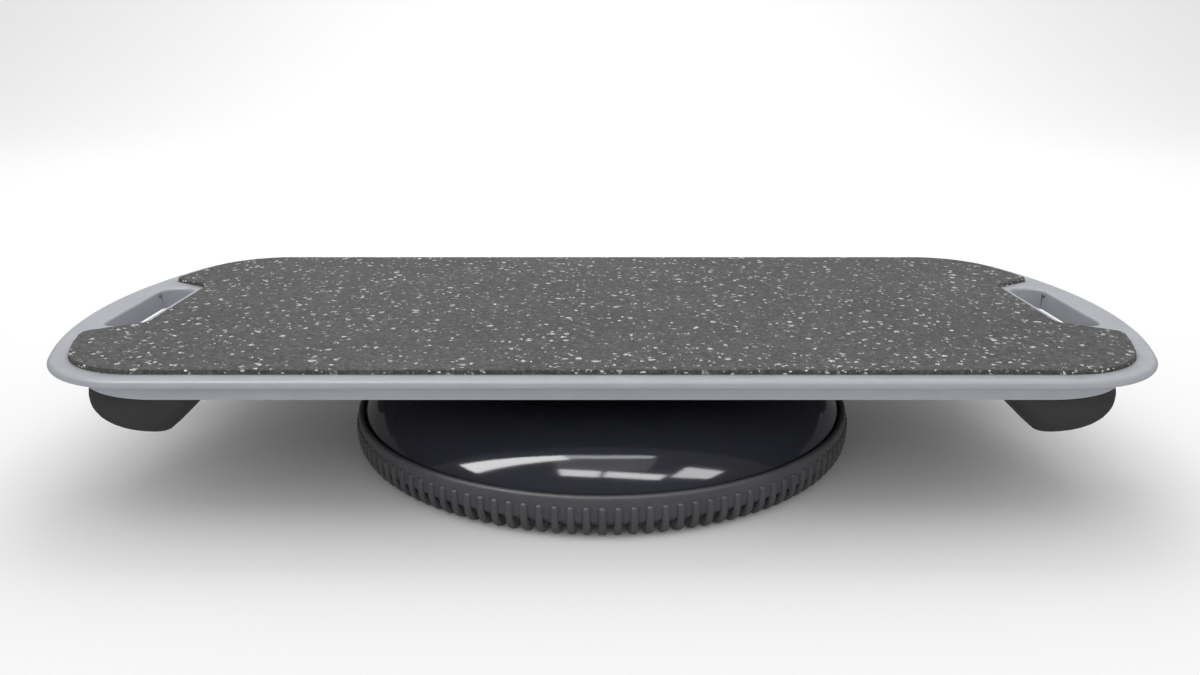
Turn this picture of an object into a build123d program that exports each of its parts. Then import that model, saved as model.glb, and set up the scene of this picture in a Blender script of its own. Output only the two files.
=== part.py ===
from build123d import *
import os
from math import sqrt

# Balance board: a moulded deck with a rubber mat tips on a sprung universal joint,
# which turns on a ball race over a round base that stands on a ring of rubber teeth.
# Millimetres. +Z is up, z = 0 is the floor, and the swivel axis is the Z axis.
# X runs along the deck from hand hole to hand hole, Y from front to back.

os.makedirs("parts", exist_ok=True)

UP = (Align.CENTER, Align.CENTER, Align.MIN)
DOWN = (Align.CENTER, Align.CENTER, Align.MAX)

# ---- clearances -------------------------------------------------------------
seat_gap = 0.3          # loose moulded parts dropped into each other
press_gap = 0.03        # a pin or screw held fast in its hole
running_gap = 0.05      # a shaft turning in its hole

# ---- deck: plan -------------------------------------------------------------
deck_length = 660.0
deck_depth = 299.0
end_bow_radius = 285.0
deck_corner = 66.0
skirt_inset_end = 17.0      # skirt behind the flange at the two ends
skirt_inset_side = 9.0      # and along the two long sides
skirt_corner = 60.0

# ---- deck: heights ----------------------------------------------------------
deck_top = 84.5             # upper face of the rim lip
flange_thickness = 5.0
deck_bottom = 71.0
mat_thickness = 5.0
mat_recess = 2.5            # how deep the mat sits in the deck
skin_thickness = 3.0
wall = 3.0
cover_thickness = 2.5
cover_recess = 3.0          # the cover lies this far inside the skirt

# ---- deck: mat, hand holes and ribs -----------------------------------------
rim_width = 11.0            # lip between the mat and the deck's outer edge
notch_line = 280.0          # inner edge of the mat's notch at each hand hole
notch_half_inner = 47.0
notch_tip_x = 312.0
notch_half_tip = 68.0
notch_fillet = 6.0
lobe_fillet = 7.0
hole_inner_x = 287.0
hole_width = 23.5
hole_length = 94.0
hole_corner = 10.5
hole_edge_round = 2.0
flange_round = 2.4
rib_thickness = 2.5
rib_pitch_y = 38.0
rib_pitch_x = 55.0
pad_radius = 44.0

# ---- feet -------------------------------------------------------------------
foot_bottom = 45.0
foot_margin = 1.5           # foot set in from the skirt
foot_inner_x = 214.5
foot_inner_y = 68.0
foot_toe_inner_x = 240.5    # the foot's small flat sole
foot_toe_outer_x = 258.5
foot_outer_x = 293.0
foot_toe_inner_y = 94.0
foot_toe_outer_y = 117.0
foot_side_drop = 5.0        # straight part of the outer sides under the deck
foot_corner = 14.0
foot_screw_x = 250.0
foot_screw_y = 103.0
foot_screw_spacing = 26.0
foot_screw_grip = 13.0

# ---- universal joint --------------------------------------------------------
pivot_height = 46.0
pin_radius = 4.0
bush_radius = 8.0
ear_radius = 11.0
ear_thickness = 8.0
block_size = 24.0
block_height = 16.0
block_side_gap = 0.5
deck_plate_radius = 36.0
deck_plate_thickness = 5.0
clip_thickness = 1.0
clip_radius = 6.5
clip_groove = 0.8
pin_tail = 1.2              # pin beyond its clip
stub_clearance = 0.8        # between the stub pins and the long pin

# ---- swivel -----------------------------------------------------------------
race_inner_radius = 34.0
race_outer_radius = 60.0
race_thickness = 5.0
race_gap = 1.8
ball_radius = 3.5
ball_circle = 42.0
ball_count = 20
cage_thickness = 1.0
cage_half_width = 5.6
turntable_thickness = 5.2
bolt_radius = 4.0
bolt_head_height = 4.5
nut_height = 4.5
nut_radius = 7.5
washer_thickness = 1.5
washer_radius = 9.0

# ---- base -------------------------------------------------------------------
dome_radius = 156.8
dome_rise = 32.0
dome_flatness = 6.8         # higher is flatter on top and steeper at the edge
dome_power = 0.92
dome_edge_height = 24.0
dome_opening = 38.0
dome_wall = 3.5
ring_flange_bottom = 6.0
ring_flange_thickness = 3.0
ring_flange_inner = 140.0
ring_chamfer = 5.0
lip_over_dome = 0.6         # the ring's lip above the edge of the dome
ring_outer_radius = 161.4
ring_shoulder = 10.6        # lower edge of the ring between the teeth
base_plate_thickness = 4.0
base_rib_height = 5.0
base_rib_count = 12
base_rib_thickness = 3.0
base_rib_margin = 5.0
tooth_count = 120
tooth_width = 4.2
tooth_height = 18.7
tooth_reach = 1.4           # teeth stand this far out of the ring
tooth_root = 1.5            # and start this far inside it
tooth_sole_inner = 152.0
tooth_sole_outer = 154.5    # the outer side curves in to this radius at the floor
tooth_curve_height = 11.0
tooth_round = 1.6

# ---- screws: head radius, head height, shank radius -------------------------
cover_screw = (3.4, 1.8, 1.75)
foot_screw = (3.8, 2.0, 2.0)
plate_screw = (4.4, 2.4, 2.5)
race_screw = (3.6, 1.9, 2.0)
dome_screw = (3.2, 2.6, 2.0)
dome_screw_circle = 148.5
dome_boss_radius = 5.0
dome_screw_count = 8
race_screw_circle = 53.0
plate_screw_circle = 30.0
cover_screw_rows = 126.0
cover_screw_columns = (-194.8, -65.0, 65.0, 194.8)
cover_end_screw_x = 264.0
cover_boss_radius = 4.6
blind_hole_depth = 1.5      # screw holes run this far into the deck's skin
screw_bite = 1.2            # and the screws this far

# ---- worked out from the above ----------------------------------------------
half_length = deck_length / 2
half_depth = deck_depth / 2
flange_bottom = deck_top - flange_thickness
recess_floor = deck_top - mat_recess
mat_top = recess_floor + mat_thickness
skin_bottom = recess_floor - skin_thickness
cover_bottom = deck_bottom + cover_recess
cover_top = cover_bottom + cover_thickness
hole_centre_x = hole_inner_x + hole_width / 2
cavity_end = hole_inner_x - wall

base_floor = ring_flange_bottom + ring_flange_thickness
base_top = base_floor + base_plate_thickness
lower_race_top = base_top + race_thickness
ball_height = lower_race_top + race_gap / 2
upper_race_bottom = lower_race_top + race_gap
turntable_bottom = upper_race_bottom + race_thickness
turntable_top = turntable_bottom + turntable_thickness
ear_gap = block_size + 2 * block_side_gap
ear_reach = ear_gap / 2 + ear_thickness
deck_plate_top = cover_top
deck_plate_bottom = deck_plate_top - deck_plate_thickness
dome_inner_radius = dome_radius - dome_wall
nut_bottom = turntable_top + seat_gap + washer_thickness
bolt_top = nut_bottom + nut_height + 0.4


def save(builder, name):
    """Label one finished piece and write its STEP file."""
    builder.part.label = name
    export_step(builder.part, f"parts/{name}.step")


def bowed_outline(reach_x, reach_y, bow_radius, corner):
    """Plan shape with straight long sides, bowed ends and round corners."""
    end_x = reach_x - bow_radius + sqrt(bow_radius**2 - reach_y**2)
    with BuildSketch(mode=Mode.PRIVATE) as face:
        with BuildLine():
            Line((-end_x, reach_y), (end_x, reach_y))
            ThreePointArc((end_x, reach_y), (reach_x, 0), (end_x, -reach_y))
            Line((end_x, -reach_y), (-end_x, -reach_y))
            ThreePointArc((-end_x, -reach_y), (-reach_x, 0), (-end_x, reach_y))
        make_face()
        fillet(face.vertices(), corner)
    return face.sketch


def deck_outline(inset_end=0.0, inset_side=0.0, corner=deck_corner):
    """The deck's outer edge, moved inwards at the ends and along the sides."""
    return bowed_outline(half_length - inset_end, half_depth - inset_side,
                         end_bow_radius - inset_end, corner)


def skirt_outline(inset=0.0):
    """The skirt under the flange, moved inwards by inset."""
    return deck_outline(skirt_inset_end + inset, skirt_inset_side + inset,
                        skirt_corner - inset)


def mat_outline(grow=0.0):
    """The mat, notched round both hand holes, grown outwards by grow."""
    rim = rim_width - grow
    with BuildSketch(mode=Mode.PRIVATE) as face:
        add(deck_outline(rim, rim, deck_corner - rim))
        for side in (-1, 1):
            inner = side * (notch_line + grow)
            tip = side * notch_tip_x
            beyond = side * (half_length + rim_width)
            with BuildLine():
                Polyline((inner, notch_half_inner - grow), (tip, notch_half_tip - grow),
                         (beyond, notch_half_tip + rim_width), (beyond, -notch_half_tip - rim_width),
                         (tip, grow - notch_half_tip), (inner, grow - notch_half_inner), close=True)
            make_face(mode=Mode.SUBTRACT)
        inner_corners = face.vertices().filter_by(
            lambda v: abs(abs(v.X) - notch_line - grow) < 0.01)
        fillet(inner_corners, notch_fillet)
        tips = face.vertices().filter_by(lambda v: abs(v.X) > notch_line + 2 * notch_fillet
                                         and abs(v.Y) < notch_half_tip + rim_width)
        fillet(tips.group_by(lambda v: -round(abs(v.X)))[0], lobe_fillet)
    return face.sketch


def hand_hole_outline(grow=0.0):
    """Both hand holes, grown outwards by grow."""
    with BuildSketch(mode=Mode.PRIVATE) as face:
        with Locations((-hole_centre_x, 0), (hole_centre_x, 0)):
            RectangleRounded(hole_width + 2 * grow, hole_length + 2 * grow, hole_corner + grow)
    return face.sketch


def cavity_outline(inset=0.0):
    """The hollow under the deck, between the skirt and the hand holes."""
    with BuildSketch(mode=Mode.PRIVATE) as face:
        add(skirt_outline(wall + inset))
        Rectangle(2 * (cavity_end - inset), deck_depth, mode=Mode.INTERSECT)
    return face.sketch


def flat_head_screws(name, points, screw, head_z, length):
    """Countersunk screws: flat heads at head_z, shanks running length along Z."""
    head_radius, head_height, shank_radius = screw
    upward = length > 0
    with BuildPart() as screws:
        with Locations(*[(x, y, head_z) for x, y in points]):
            Cylinder(shank_radius, abs(length), align=UP if upward else DOWN)
            Cone(head_radius if upward else shank_radius, shank_radius if upward else head_radius,
                 head_height, align=UP if upward else DOWN)
            socket = Align.MIN if upward else Align.MAX
            Box(0.35 * head_radius, 1.1 * head_radius, 0.6 * head_height,
                align=(Align.CENTER, Align.CENTER, socket), mode=Mode.SUBTRACT)
            Box(1.1 * head_radius, 0.35 * head_radius, 0.6 * head_height,
                align=(Align.CENTER, Align.CENTER, socket), mode=Mode.SUBTRACT)
    save(screws, name)


def flat_head_holes(points, screw, head_z, length):
    """Cut the countersunk holes that flat_head_screws needs into the open part."""
    head_radius, head_height, shank_radius = screw
    upward = length > 0
    with Locations(*[(x, y, head_z) for x, y in points]):
        Cylinder(shank_radius + press_gap, abs(length) + seat_gap,
                 align=UP if upward else DOWN, mode=Mode.SUBTRACT)
        wide = head_radius + press_gap
        narrow = shank_radius + press_gap
        Cone(wide if upward else narrow, narrow if upward else wide,
             head_height, align=UP if upward else DOWN, mode=Mode.SUBTRACT)


def plain_holes(points, radius, bottom, top):
    """Cut plain round holes from bottom to top into the open part."""
    with Locations(*[(x, y, bottom) for x, y in points]):
        Cylinder(radius, top - bottom, align=UP, mode=Mode.SUBTRACT)


def pan_head_screws(name, points, screw, head_z, length):
    """Pan head screws: heads outside head_z, shanks running length along Z."""
    head_radius, head_height, shank_radius = screw
    upward = length > 0
    with BuildPart() as screws:
        with Locations(*[(x, y, head_z) for x, y in points]):
            Cylinder(shank_radius, abs(length), align=UP if upward else DOWN)
            Cylinder(head_radius, head_height, align=DOWN if upward else UP)
        outer = Axis.Z if upward else -Axis.Z
        fillet(screws.edges().filter_by(GeomType.CIRCLE).group_by(outer)[0], 0.4 * head_height)
    save(screws, name)


def circle_points(radius, count, start=0.0):
    """Points spaced evenly on a circle about the swivel axis."""
    with PolarLocations(radius, count, start_angle=start) as ring:
        return [(place.position.X, place.position.Y) for place in ring.locations]


# ---- where the screws go ----------------------------------------------------
cover_points = [(x, y * cover_screw_rows) for x in cover_screw_columns for y in (-1, 1)]
cover_points += [(-cover_end_screw_x, 0), (cover_end_screw_x, 0)]
foot_points = [(sx * (foot_screw_x + shift), sy * foot_screw_y)
               for sx in (-1, 1) for sy in (-1, 1)
               for shift in (-foot_screw_spacing / 2, foot_screw_spacing / 2)]
plate_points = circle_points(plate_screw_circle, 6, 30)
upper_race_points = circle_points(race_screw_circle, 4, 45)
lower_race_points = circle_points(race_screw_circle, 4, 0)
dome_points = circle_points(dome_screw_circle, dome_screw_count, 22.5)


# ---- deck frame -------------------------------------------------------------
with BuildPart() as ribs:
    for row in (-3, -2, -1, 1, 2, 3):
        with Locations((0, row * rib_pitch_y, cover_top + seat_gap)):
            Box(2 * cavity_end, rib_thickness, skin_bottom - cover_top, align=UP)
    for column in (-4, -3, -2, -1, 1, 2, 3, 4):
        with Locations((column * rib_pitch_x, 0, cover_top + seat_gap)):
            Box(rib_thickness, deck_depth, skin_bottom - cover_top, align=UP)
    with BuildSketch(Plane.XY.offset(cover_top)):
        add(cavity_outline(-0.5))
    extrude(amount=skin_bottom - cover_top + 0.5, mode=Mode.INTERSECT)

with BuildPart() as deck_frame:
    with BuildSketch(Plane.XY.offset(flange_bottom)):
        add(deck_outline())
    extrude(amount=flange_thickness)
    rim_edges = deck_frame.edges().group_by(Axis.Z)
    fillet(rim_edges[0] + rim_edges[-1], flange_round)
    with BuildSketch(Plane.XY.offset(deck_bottom)):
        add(skirt_outline())
    extrude(amount=flange_bottom - deck_bottom)
    with BuildSketch(Plane.XY.offset(recess_floor)):
        add(mat_outline(seat_gap))
    extrude(amount=mat_recess, mode=Mode.SUBTRACT)
    with BuildSketch(Plane.XY.offset(deck_bottom)):
        add(cavity_outline())
    extrude(amount=skin_bottom - deck_bottom, mode=Mode.SUBTRACT)
    with BuildSketch(Plane.XY.offset(deck_bottom)):
        add(hand_hole_outline())
    extrude(amount=deck_top - deck_bottom, mode=Mode.SUBTRACT)
    hole_edges = deck_frame.edges().filter_by(
        lambda e: abs(e.center().Z - deck_top) < 0.01
        and abs(abs(e.center().X) - hole_centre_x) < hole_width / 2 + 0.1
        and abs(e.center().Y) < hole_length / 2 + 0.1)
    fillet(hole_edges, hole_edge_round)
    add(ribs.part)
    with Locations((0, 0, deck_plate_top)):
        Cylinder(pad_radius, skin_bottom - deck_plate_top, align=UP)
    with Locations(*[(x, y, cover_top) for x, y in cover_points]):
        Cylinder(cover_boss_radius, skin_bottom - cover_top, align=UP)
    plain_holes(cover_points, cover_screw[2] + press_gap, cover_top, skin_bottom + blind_hole_depth)
    plain_holes(plate_points, plate_screw[2] + press_gap, deck_plate_top, skin_bottom + blind_hole_depth)
    plain_holes(foot_points, foot_screw[0] + seat_gap, cover_top, skin_bottom)
save(deck_frame, "deck_frame")

# ---- mat --------------------------------------------------------------------
with BuildPart() as grip_mat:
    with BuildSketch(Plane.XY.offset(recess_floor)):
        add(mat_outline())
    extrude(amount=mat_thickness)
save(grip_mat, "grip_mat")

# ---- underside cover --------------------------------------------------------
with BuildPart() as underside_cover:
    with BuildSketch(Plane.XY.offset(cover_bottom)):
        add(cavity_outline(seat_gap))
        Circle(deck_plate_radius + seat_gap, mode=Mode.SUBTRACT)
    extrude(amount=cover_thickness)
    flat_head_holes(cover_points, cover_screw, cover_bottom, cover_thickness)
    plain_holes(foot_points, foot_screw[2] + press_gap, cover_bottom, cover_top)
save(underside_cover, "underside_cover")
flat_head_screws("cover_screws", cover_points, cover_screw, cover_bottom,
                 skin_bottom + screw_bite - cover_bottom)

# ---- corner feet ------------------------------------------------------------
foot_height = deck_bottom - foot_bottom
foot_outer_y = half_depth - skirt_inset_side - foot_margin


def foot_profile(inner, toe_inner, toe_outer, outer):
    """One side view of a foot: sloping inside, flat sole, round outside."""
    with BuildSketch(mode=Mode.PRIVATE) as face:
        with BuildLine():
            Line((inner, deck_bottom), (outer, deck_bottom))
            Line((outer, deck_bottom), (outer, deck_bottom - foot_side_drop))
            EllipticalCenterArc((toe_outer, deck_bottom - foot_side_drop), outer - toe_outer,
                                foot_height - foot_side_drop, start_angle=270, arc_size=90)
            Line((toe_outer, foot_bottom), (toe_inner, foot_bottom))
            Line((toe_inner, foot_bottom), (inner, deck_bottom))
        make_face()
    return face.sketch


with BuildPart() as corner_foot:
    with BuildSketch(Plane.XZ):
        add(foot_profile(foot_inner_x, foot_toe_inner_x, foot_toe_outer_x, foot_outer_x))
    extrude(amount=-half_depth)
    with BuildSketch(Plane.YZ):
        add(foot_profile(foot_inner_y, foot_toe_inner_y, foot_toe_outer_y, foot_outer_y))
    extrude(amount=half_length, mode=Mode.INTERSECT)
    with BuildSketch(Plane.XY.offset(foot_bottom)):
        add(skirt_outline(foot_margin))
        with Locations((foot_inner_x, foot_inner_y)):
            RectangleRounded(deck_depth, deck_depth, foot_corner, align=(Align.MIN, Align.MIN),
                             mode=Mode.INTERSECT)
    extrude(amount=foot_height, mode=Mode.INTERSECT)
    with BuildSketch(Plane.XY.offset(deck_bottom - 0.5)):
        add(cavity_outline(seat_gap))
        with Locations((foot_inner_x, foot_inner_y)):
            RectangleRounded(deck_depth, deck_depth, foot_corner, align=(Align.MIN, Align.MIN),
                             mode=Mode.INTERSECT)
    extrude(amount=cover_recess + 0.5)
    quarter_points = [(x, y) for x, y in foot_points if x > 0 and y > 0]
    plain_holes(quarter_points, foot_screw[2] + press_gap, cover_bottom - foot_screw_grip,
                cover_bottom)

foot_mirrors = {
    "foot_rear_right": (),
    "foot_rear_left": (Plane.YZ,),
    "foot_front_right": (Plane.XZ,),
    "foot_front_left": (Plane.XZ, Plane.YZ),
}
for foot_name, mirror_planes in foot_mirrors.items():
    with BuildPart() as foot:
        add(corner_foot.part)
        for mirror_plane in mirror_planes:
            mirror(about=mirror_plane, mode=Mode.REPLACE)
    save(foot, foot_name)
pan_head_screws("foot_screws", foot_points, foot_screw, cover_top,
                -(cover_thickness + foot_screw_grip - 1))

# ---- deck yoke: the plate and ears under the deck ---------------------------
with BuildPart() as deck_yoke:
    with Locations((0, 0, deck_plate_bottom)):
        Cylinder(deck_plate_radius, deck_plate_thickness, align=UP)
    with BuildSketch(Plane.XZ):
        with Locations((0, pivot_height)):
            Circle(ear_radius)
            Rectangle(2 * ear_radius, deck_plate_bottom - pivot_height + 0.5,
                      align=(Align.CENTER, Align.MIN))
    extrude(amount=ear_reach, both=True)
    with Locations((0, 0, deck_plate_bottom)):
        Box(3 * ear_radius, ear_gap, deck_plate_bottom, align=DOWN, mode=Mode.SUBTRACT)
    with Locations(Location((0, 0, pivot_height), (90, 0, 0))):
        Cylinder(bush_radius + press_gap, 3 * ear_reach, mode=Mode.SUBTRACT)
    flat_head_holes(plate_points, plate_screw, deck_plate_bottom, deck_plate_thickness)
save(deck_yoke, "deck_yoke")
flat_head_screws("deck_yoke_screws", plate_points, plate_screw, deck_plate_bottom,
                 skin_bottom + screw_bite - deck_plate_bottom)

# ---- cross block, pins, clips and rubber bushes -----------------------------
along_x = Location((0, 0, pivot_height), (0, 90, 0))
along_y = Location((0, 0, pivot_height), (90, 0, 0))
pin_end = ear_reach + seat_gap + clip_thickness + pin_tail
clip_place = ear_reach + seat_gap + clip_thickness / 2
stub_start = pin_radius + stub_clearance

with BuildPart() as cross_block:
    with Locations((0, 0, pivot_height)):
        Box(block_size, block_size, block_height)
    chamfer(cross_block.edges(), 1.0)
    with Locations(along_x):
        Cylinder(pin_radius + press_gap, 2 * block_size, mode=Mode.SUBTRACT)
    for side in (-1, 1):
        with Locations(Location((0, side * stub_start, pivot_height), (-90 * side, 0, 0))):
            Cylinder(pin_radius + press_gap, block_size, align=UP, mode=Mode.SUBTRACT)
save(cross_block, "cross_block")

with BuildPart() as long_pin:
    with Locations(along_x):
        Cylinder(pin_radius, 2 * pin_end)
    for side in (-1, 1):
        with Locations(Location((side * clip_place, 0, pivot_height), (0, 90, 0))):
            Cylinder(pin_radius + 1, clip_thickness + 2 * running_gap, mode=Mode.SUBTRACT)
            Cylinder(pin_radius - clip_groove, clip_thickness + 2 * running_gap)
    chamfer(long_pin.edges().filter_by(lambda e: abs(abs(e.center().X) - pin_end) < 0.01), 0.5)
save(long_pin, "long_pin")

with BuildPart() as stub_pins:
    for side in (-1, 1):
        with Locations(Location((0, side * stub_start, pivot_height), (-90 * side, 0, 0))):
            Cylinder(pin_radius, pin_end - stub_start, align=UP)
        with Locations(Location((0, side * clip_place, pivot_height), (90, 0, 0))):
            Cylinder(pin_radius + 1, clip_thickness + 2 * running_gap, mode=Mode.SUBTRACT)
            Cylinder(pin_radius - clip_groove, clip_thickness + 2 * running_gap)
    chamfer(stub_pins.edges().filter_by(lambda e: abs(abs(e.center().Y) - pin_end) < 0.01), 0.5)
save(stub_pins, "stub_pins")

with BuildPart() as pin_clips:
    for place, turn, tilt in (((1, 0), 0, 90), ((-1, 0), 0, 90), ((0, 1), 90, 0), ((0, -1), 90, 0)):
        centre = (place[0] * clip_place, place[1] * clip_place, pivot_height)
        with Locations(Location(centre, (turn, tilt, 0))):
            Cylinder(clip_radius, clip_thickness)
            Cylinder(pin_radius - clip_groove + running_gap, clip_thickness, mode=Mode.SUBTRACT)
        with Locations(centre):
            Box(4, 4, 2 * clip_radius, align=UP, mode=Mode.SUBTRACT)
save(pin_clips, "pin_clips")

for bush_name, bush_axis, shift in (("front_back_bushes", along_x, (1, 0)),
                                    ("side_to_side_bushes", along_y, (0, 1))):
    with BuildPart() as bushes:
        for side in (-1, 1):
            reach = side * (ear_gap + ear_thickness) / 2
            centre = Location((shift[0] * reach, shift[1] * reach, pivot_height),
                              tuple(bush_axis.orientation))
            with Locations(centre):
                Cylinder(bush_radius, ear_thickness)
                Cylinder(pin_radius + running_gap, ear_thickness, mode=Mode.SUBTRACT)
    save(bushes, bush_name)

# ---- turntable yoke ---------------------------------------------------------
with BuildPart() as turntable_yoke:
    with Locations((0, 0, turntable_bottom)):
        Cylinder(race_outer_radius, turntable_thickness, align=UP)
    with BuildSketch(Plane.YZ):
        with Locations((0, pivot_height)):
            Circle(ear_radius)
            Rectangle(2 * ear_radius, pivot_height - turntable_top + 0.5,
                      align=(Align.CENTER, Align.MAX))
    extrude(amount=ear_reach, both=True)
    with Locations((0, 0, turntable_top)):
        Box(ear_gap, 3 * ear_radius, pivot_height, align=UP, mode=Mode.SUBTRACT)
    with Locations(along_x):
        Cylinder(bush_radius + press_gap, 3 * ear_reach, mode=Mode.SUBTRACT)
    plain_holes([(0, 0)], bolt_radius + running_gap, turntable_bottom, turntable_top)
    flat_head_holes(upper_race_points, race_screw, turntable_top, -turntable_thickness)
save(turntable_yoke, "turntable_yoke")
flat_head_screws("turntable_screws", upper_race_points, race_screw, turntable_top,
                 -(turntable_thickness + 3.5))

# ---- ball race --------------------------------------------------------------
def race_ring(bottom):
    """One flat race with its ball groove, as an open ring."""
    with BuildPart(mode=Mode.PRIVATE) as ring:
        with Locations((0, 0, bottom)):
            Cylinder(race_outer_radius, race_thickness, align=UP)
            Cylinder(race_inner_radius, race_thickness, align=UP, mode=Mode.SUBTRACT)
        with Locations((0, 0, ball_height)):
            Torus(ball_circle, ball_radius + running_gap, mode=Mode.SUBTRACT)
    return ring.part


with BuildPart() as upper_race:
    add(race_ring(upper_race_bottom))
    plain_holes(upper_race_points, race_screw[2] + press_gap, upper_race_bottom + 1,
                turntable_bottom)
save(upper_race, "upper_race")

with BuildPart() as lower_race:
    add(race_ring(base_top))
    flat_head_holes(lower_race_points, race_screw, lower_race_top, -race_thickness)
save(lower_race, "lower_race")

ball_points = circle_points(ball_circle, ball_count)
with BuildPart() as bearing_balls:
    with Locations(*[(x, y, ball_height) for x, y in ball_points]):
        Sphere(ball_radius)
save(bearing_balls, "bearing_balls")

with BuildPart() as ball_cage:
    with Locations((0, 0, ball_height)):
        Cylinder(ball_circle + cage_half_width, cage_thickness)
        Cylinder(ball_circle - cage_half_width, cage_thickness, mode=Mode.SUBTRACT)
    with Locations(*[(x, y, ball_height) for x, y in ball_points]):
        Cylinder(ball_radius + seat_gap, 2 * cage_thickness, mode=Mode.SUBTRACT)
save(ball_cage, "ball_cage")

# ---- swivel bolt, washer and nut --------------------------------------------
with BuildPart() as swivel_bolt:
    with Locations((0, 0, base_floor)):
        Cylinder(bolt_radius, bolt_top - base_floor, align=UP)
    with BuildSketch(Plane.XY.offset(base_floor)):
        RegularPolygon(nut_radius, 6)
    extrude(amount=-bolt_head_height)
save(swivel_bolt, "swivel_bolt")

with BuildPart() as swivel_washer:
    with Locations((0, 0, nut_bottom - washer_thickness)):
        Cylinder(washer_radius, washer_thickness, align=UP)
    plain_holes([(0, 0)], bolt_radius + running_gap, turntable_top, nut_bottom)
save(swivel_washer, "swivel_washer")

with BuildPart() as swivel_nut:
    with BuildSketch(Plane.XY.offset(nut_bottom)):
        RegularPolygon(nut_radius, 6)
    extrude(amount=nut_height)
    plain_holes([(0, 0)], bolt_radius + press_gap, nut_bottom, nut_bottom + nut_height)
save(swivel_nut, "swivel_nut")

# ---- base plate -------------------------------------------------------------
with BuildPart() as base_plate:
    with Locations((0, 0, base_floor)):
        Cylinder(dome_inner_radius - seat_gap, base_plate_thickness, align=UP)
    with PolarLocations(0, base_rib_count):
        with Locations((2 * nut_radius, 0, base_floor)):
            Box(ring_flange_inner - base_rib_margin - 2 * nut_radius, base_rib_thickness,
                base_rib_height, align=(Align.MIN, Align.CENTER, Align.MAX))
    plain_holes([(0, 0)], bolt_radius + press_gap, base_floor, base_top)
    plain_holes(dome_points, dome_screw[2] + press_gap, base_floor, base_top)
    plain_holes(lower_race_points, race_screw[2] + press_gap, base_floor + 0.5, base_top)
save(base_plate, "base_plate")
flat_head_screws("lower_race_screws", lower_race_points, race_screw, lower_race_top,
                 -(race_thickness + base_plate_thickness - 1))


# ---- dome -------------------------------------------------------------------
def dome_curve(radius, rise):
    """Points down one side of the dome, from its opening to its edge."""
    shares = (0.42, 0.56, 0.68, 0.78, 0.86, 0.92, 0.965)
    radii = [dome_opening] + [share * radius for share in shares]
    points = [(r, dome_edge_height + rise * (1 - (r / radius) ** dome_flatness) ** dome_power)
              for r in radii]
    return points + [(radius, dome_edge_height)]


outer_curve = dome_curve(dome_radius, dome_rise)
inner_curve = dome_curve(dome_inner_radius, dome_rise - dome_wall)
with BuildPart() as dome_shell:
    with BuildSketch(Plane.XZ):
        with BuildLine():
            Spline(*outer_curve)
            Polyline(outer_curve[-1], (dome_radius, base_floor), (dome_inner_radius, base_floor),
                     inner_curve[-1])
            Spline(*reversed(inner_curve))
            Line(inner_curve[0], outer_curve[0])
        make_face()
    revolve(axis=Axis.Z)
    with Locations(*[(x, y, base_top) for x, y in dome_points]):
        Cylinder(dome_boss_radius, dome_edge_height + 2 - base_top, align=UP)
    plain_holes(dome_points, dome_screw[2] + press_gap, base_top, dome_edge_height - 1)
save(dome_shell, "dome_shell")
pan_head_screws("dome_screws", dome_points, dome_screw, ring_flange_bottom,
                dome_edge_height - 2 - ring_flange_bottom)

# ---- rubber tread ring ------------------------------------------------------
ring_inner_radius = dome_radius + seat_gap
ring_top = dome_edge_height + lip_over_dome
lip_radius = (ring_outer_radius - ring_inner_radius) / 2
tooth_outer = ring_outer_radius + tooth_reach
tooth_back = ring_outer_radius - tooth_root

with BuildPart() as tooth:
    with BuildSketch(Plane.XZ) as tooth_side:
        with BuildLine():
            EllipticalCenterArc((tooth_sole_outer, tooth_curve_height),
                                tooth_outer - tooth_sole_outer, tooth_curve_height,
                                start_angle=270, arc_size=90)
            Polyline((tooth_outer, tooth_curve_height), (tooth_outer, tooth_height),
                     (tooth_back, tooth_height), (tooth_back, base_floor - 1),
                     (tooth_sole_inner, base_floor - 1), (tooth_sole_inner, 0),
                     (tooth_sole_outer, 0))
        make_face()
        fillet(tooth_side.vertices().group_by(Axis.Y)[-1].group_by(Axis.X)[-1], tooth_round)
    extrude(amount=tooth_width / 2, both=True)

with BuildPart() as tread_ring:
    with BuildSketch(Plane.XZ):
        with BuildLine():
            Polyline((ring_inner_radius, ring_top - lip_radius), (ring_inner_radius, base_floor),
                     (ring_flange_inner, base_floor), (ring_flange_inner, ring_flange_bottom),
                     (ring_outer_radius - ring_chamfer, ring_flange_bottom),
                     (ring_outer_radius, ring_shoulder),
                     (ring_outer_radius, ring_top - lip_radius))
            ThreePointArc((ring_outer_radius, ring_top - lip_radius),
                          (ring_outer_radius - lip_radius, ring_top),
                          (ring_inner_radius, ring_top - lip_radius))
        make_face()
    revolve(axis=Axis.Z)
    plain_holes(dome_points, dome_screw[2] + press_gap, ring_flange_bottom, base_floor)
    with PolarLocations(0, tooth_count):
        add(tooth.part)
save(tread_ring, "tread_ring")
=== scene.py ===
from math import asin, atan2, cos, pi, radians, sin, sqrt, tan

import bmesh
import bpy
from bpy.props import FloatProperty, FloatVectorProperty, IntProperty, PointerProperty
from mathutils import Matrix, Vector, noise


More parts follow.
